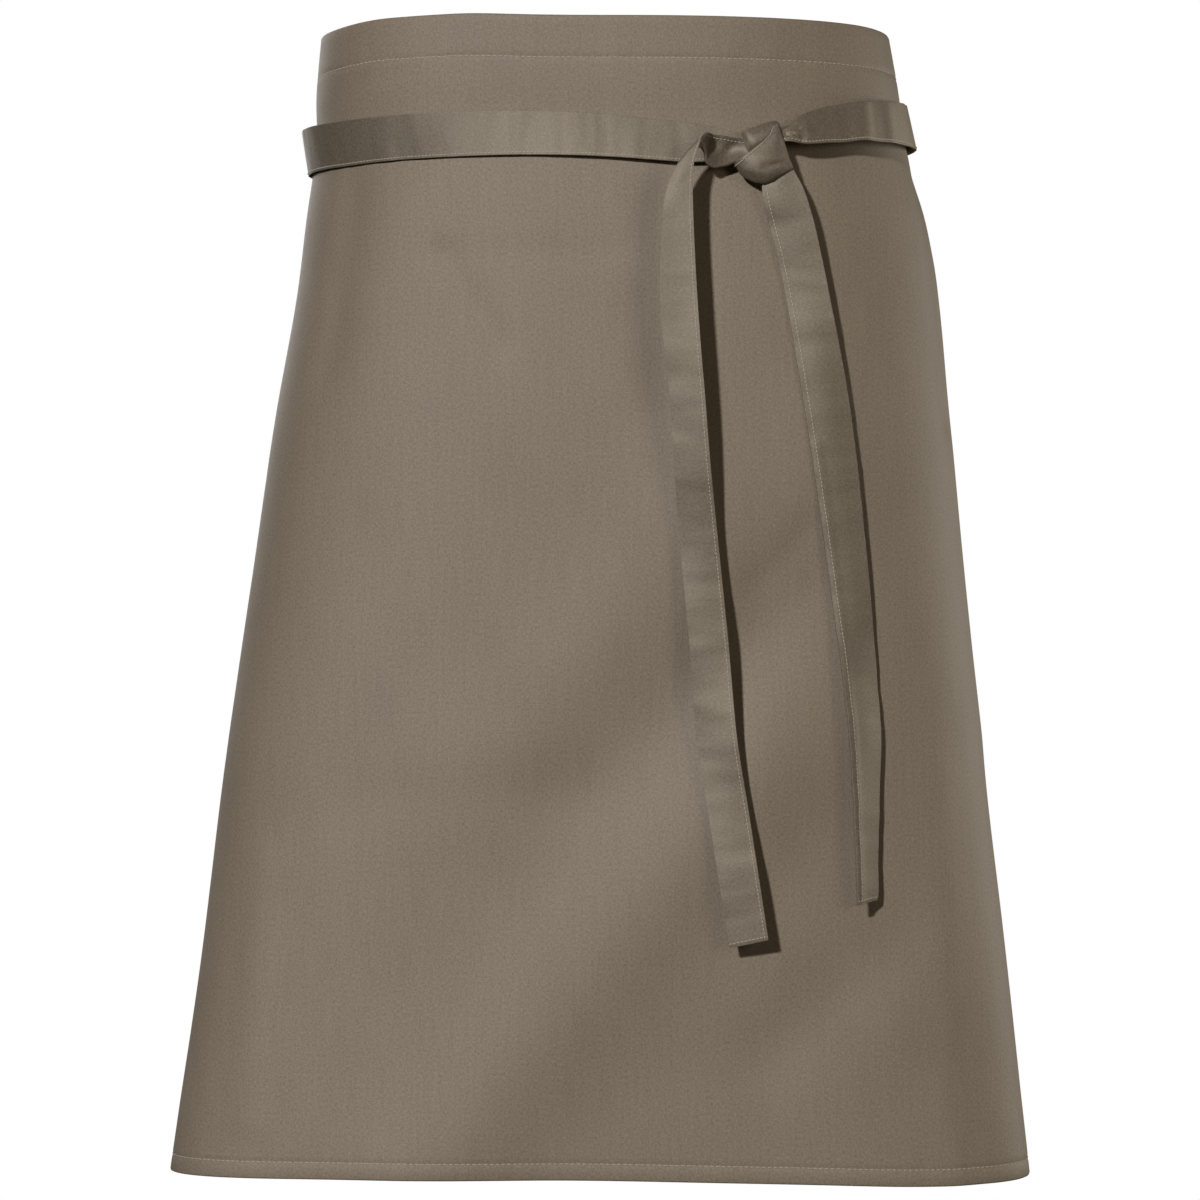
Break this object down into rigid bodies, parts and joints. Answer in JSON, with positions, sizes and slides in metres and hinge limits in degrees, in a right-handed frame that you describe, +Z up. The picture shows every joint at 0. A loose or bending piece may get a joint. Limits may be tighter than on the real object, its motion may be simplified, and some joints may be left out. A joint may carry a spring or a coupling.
{
  "type": "waist apron",
  "caption": "Knee-length waist apron of plain cotton twill, wrapped round the waist, with long flat ties that cross at the back and are knotted in front.",
  "frame": {"origin": "centre of the waist, level with the panel's top edge", "axes": "+X to the viewer's right when facing the apron's front, +Y from the front towards the wearer's back, +Z up"},
  "size_m": [0.5199, 0.2743, 0.686],
  "materials": {
    "twill": "matte cotton twill, grey-brown",
    "tie_twill": "pressed cotton twill strip with a faint sheen, grey-brown",
    "thread": "pale sewing thread"
  },
  "bodies": {
    "root": {"skirt_panel": "twill", "waistband": "twill", "bottom_hem": "twill", "side_hem_left": "twill", "side_hem_right": "twill", "belt_left": "tie_twill", "belt_right": "tie_twill", "knot": "tie_twill", "tail_left": "tie_twill", "tail_right": "tie_twill"}
  },
  "joints": []
}
